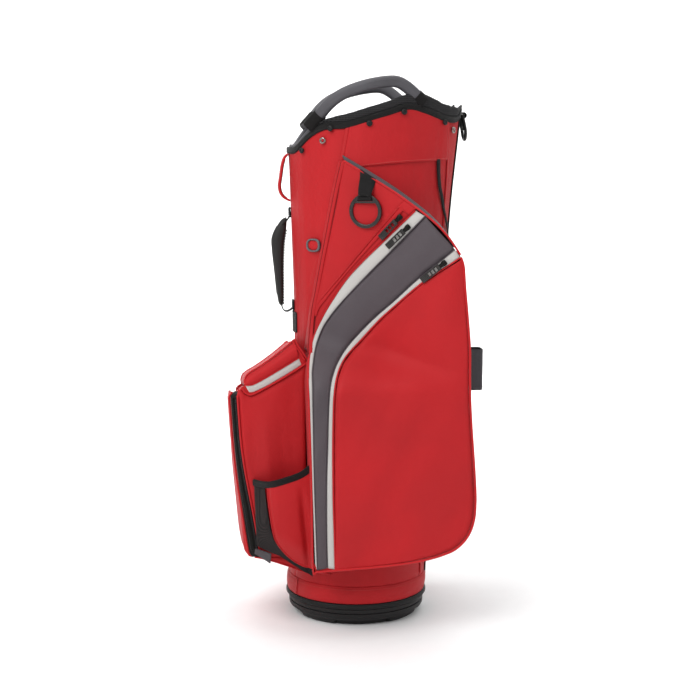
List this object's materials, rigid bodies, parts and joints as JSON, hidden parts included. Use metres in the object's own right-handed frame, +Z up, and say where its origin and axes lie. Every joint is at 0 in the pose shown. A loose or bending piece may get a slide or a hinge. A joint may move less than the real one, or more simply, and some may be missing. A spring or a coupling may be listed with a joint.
{
  "type": "golf cart bag",
  "caption": "Upright golf bag with a moulded base, padded collar with two lift handles, divider, zipped side and ball pockets, bottle pocket and towel ring.",
  "frame": {"origin": "centre of the foot's flat underside", "axes": "+Z up to the collar, -X the front with the trunk handle and ball pocket, -Y the near side with the towel ring"},
  "size_m": [0.4275, 0.3695, 0.906],
  "materials": {
    "red_nylon": "coated woven nylon",
    "dark_grey_nylon": "coated woven nylon",
    "black_fabric": "webbing, mesh and binding",
    "black_plastic": "moulded",
    "grey_plastic": "soft-touch moulded",
    "light_grey_trim": "woven zip bands",
    "gunmetal": "dark plated"
  },
  "bodies": {
    "root": {"accessory_pocket": "red_nylon", "ball_pocket": "red_nylon", "base_foot": "black_plastic", "base_hem_band": "red_nylon", "base_welt": "black_plastic", "bottle_pocket": "red_nylon", "collar_binding": "black_fabric", "collar_frame": "grey_plastic", "collar_pad": "black_fabric", "divider_cell_1_1": "black_fabric", "divider_cell_1_2": "black_fabric", "divider_cell_2_1": "black_fabric", "divider_cell_2_2": "black_fabric", "divider_cell_2_3": "black_fabric", "divider_cell_3_1": "black_fabric", "divider_cell_3_2": "black_fabric", "divider_cell_3_3": "black_fabric", "divider_cell_4_1": "black_fabric", "divider_cell_4_2": "black_fabric", "divider_row_1": "black_fabric", "divider_row_2": "black_fabric", "divider_row_3": "black_fabric", "drain_tab": "grey_plastic", "floor_pad": "black_fabric", "front_lift_loop": "red_nylon", "front_lip": "grey_plastic", "front_panel": "red_nylon", "glove_patch": "black_fabric", "handle_anchor_bottom": "black_fabric", "handle_anchor_top": "black_fabric", "handle_far": "grey_plastic", "handle_near": "grey_plastic", "pen_eyelet": "grey_plastic", "side_panel_far": "red_nylon", "side_panel_near": "red_nylon", "side_pocket_far": "red_nylon", "side_pocket_near": "red_nylon", "side_strap": "black_fabric", "spine_panel": "black_fabric", "stay_far": "grey_plastic", "stay_near": "grey_plastic", "strap_tab": "black_fabric", "towel_strap": "black_fabric", "umbrella_loop": "dark_grey_nylon"},
    "zip_valuables_slider": {"zip_valuables_slider": "gunmetal"},
    "zip_valuables_pull": {"zip_valuables_pull": "gunmetal"},
    "zip_upper_slider": {"zip_upper_slider": "gunmetal"},
    "zip_upper_pull": {"zip_upper_pull": "gunmetal"},
    "zip_apparel_slider": {"zip_apparel_slider": "gunmetal"},
    "zip_apparel_pull": {"zip_apparel_pull": "gunmetal"},
    "zip_far_slider": {"zip_far_slider": "gunmetal"},
    "zip_far_pull": {"zip_far_pull": "gunmetal"},
    "zip_accessory_slider": {"zip_accessory_slider": "gunmetal"},
    "zip_accessory_pull": {"zip_accessory_pull": "gunmetal"},
    "zip_ball_slider": {"zip_ball_slider": "gunmetal"},
    "zip_ball_pull": {"zip_ball_pull": "gunmetal"},
    "towel_ring": {"towel_ring": "gunmetal"},
    "trunk_handle": {"trunk_handle": "black_plastic"},
    "rear_ring": {"rear_d_ring": "black_plastic"}
  },
  "joints": [
    {"name": "zip_valuables_slide", "type": "slide", "parent": "root", "child": "zip_valuables_slider", "axis": [-0.6043, 0.3684, -0.7065], "range_m": [0, 0.055]},
    {"name": "zip_valuables_pull_hinge", "type": "hinge", "parent": "zip_valuables_slider", "child": "zip_valuables_pull", "pos_m": [0.04659, -0.15192, 0.6759], "axis": [-0.6521, 0.2808, 0.7042], "range_deg": [0, 95]},
    {"name": "zip_upper_slide", "type": "slide", "parent": "root", "child": "zip_upper_slider", "axis": [-0.6363, 0.3821, -0.6702], "range_m": [0, 0.058]},
    {"name": "zip_upper_pull_hinge", "type": "hinge", "parent": "zip_upper_slider", "child": "zip_upper_pull", "pos_m": [0.05845, -0.15682, 0.66058], "axis": [-0.6209, 0.2619, 0.7389], "range_deg": [0, 95]},
    {"name": "zip_apparel_slide", "type": "slide", "parent": "root", "child": "zip_apparel_slider", "axis": [-0.6815, 0.4008, -0.6124], "range_m": [0, 0.085]},
    {"name": "zip_apparel_pull_hinge", "type": "hinge", "parent": "zip_apparel_slider", "child": "zip_apparel_pull", "pos_m": [0.11281, -0.18052, 0.60551], "axis": [-0.571, 0.2323, 0.7874], "range_deg": [0, 95]},
    {"name": "zip_far_slide", "type": "slide", "parent": "root", "child": "zip_far_slider", "axis": [-0.6363, -0.3821, -0.6702], "range_m": [0, 0.058]},
    {"name": "zip_far_pull_hinge", "type": "hinge", "parent": "zip_far_slider", "child": "zip_far_pull", "pos_m": [0.05845, 0.15682, 0.66058], "axis": [0.6209, 0.2619, -0.7389], "range_deg": [0, 95]},
    {"name": "zip_accessory_slide", "type": "slide", "parent": "root", "child": "zip_accessory_slider", "axis": [0.9112, 0, 0.412], "range_m": [0, 0.04]},
    {"name": "zip_accessory_pull_hinge", "type": "hinge", "parent": "zip_accessory_slider", "child": "zip_accessory_pull", "pos_m": [-0.17817, 0.112, 0.39963], "axis": [-0.412, 0, 0.9112], "range_deg": [0, 95]},
    {"name": "zip_ball_slide", "type": "slide", "parent": "root", "child": "zip_ball_slider", "axis": [-0.0866, 0, 0.9962], "range_m": [0, 0.195]},
    {"name": "zip_ball_pull_hinge", "type": "hinge", "parent": "zip_ball_slider", "child": "zip_ball_pull", "pos_m": [-0.17665, 0.112, 0.15747], "axis": [-0.9962, 0, -0.0866], "range_deg": [0, 95]},
    {"name": "towel_ring_swing", "type": "hinge", "parent": "root", "child": "towel_ring", "pos_m": [0, -0.1337, 0.7162], "axis": [-0.8885, 0.459, 0], "range_deg": [0, 110]},
    {"name": "trunk_handle_swing", "type": "hinge", "parent": "root", "child": "trunk_handle", "pos_m": [-0.1075, 0, 0.608], "axis": [0, 0, 1], "range_deg": [-25, 25]},
    {"name": "rear_ring_swing", "type": "hinge", "parent": "root", "child": "rear_ring", "pos_m": [0.1805, 0, 0.848], "axis": [0, -1, 0], "range_deg": [0, 110]}
  ]
}
